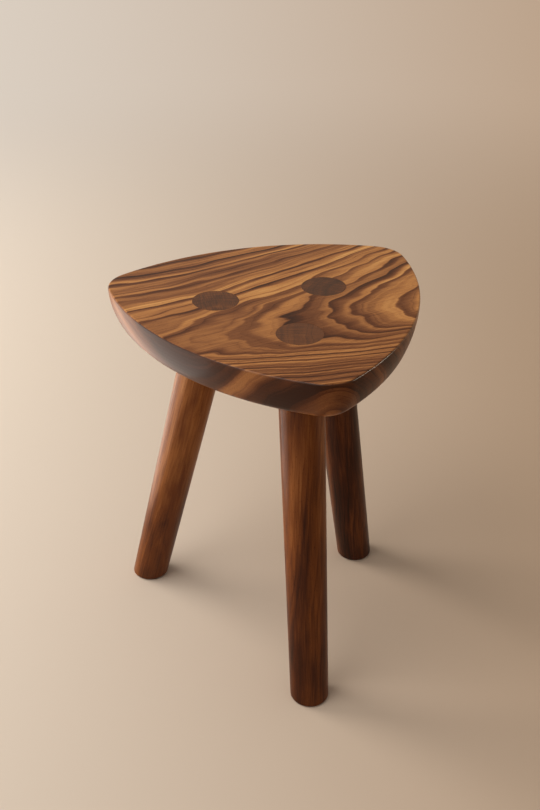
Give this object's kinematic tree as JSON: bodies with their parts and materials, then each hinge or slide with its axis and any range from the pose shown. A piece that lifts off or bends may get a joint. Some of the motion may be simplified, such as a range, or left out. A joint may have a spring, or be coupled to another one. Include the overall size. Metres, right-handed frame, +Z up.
{
  "type": "stool",
  "caption": "Low wooden stool: a thick rounded-triangle seat on splayed round legs, whose full-width tenons run through the seat and are cut flush with its top.",
  "frame": {"origin": "on the floor, straight below the centre of the seat", "axes": "+Z up, -Y towards the seat's front corner, +X to the right as seen from the front"},
  "size_m": [0.3806, 0.3802, 0.45],
  "materials": {
    "seat_wood": "satin oiled, strongly striped brown hardwood",
    "leg_wood": "satin oiled, dark brown hardwood with the grain along the leg"
  },
  "bodies": {
    "root": {"seat": "seat_wood", "front_leg": "leg_wood", "right_leg": "leg_wood", "left_leg": "leg_wood"}
  },
  "joints": []
}
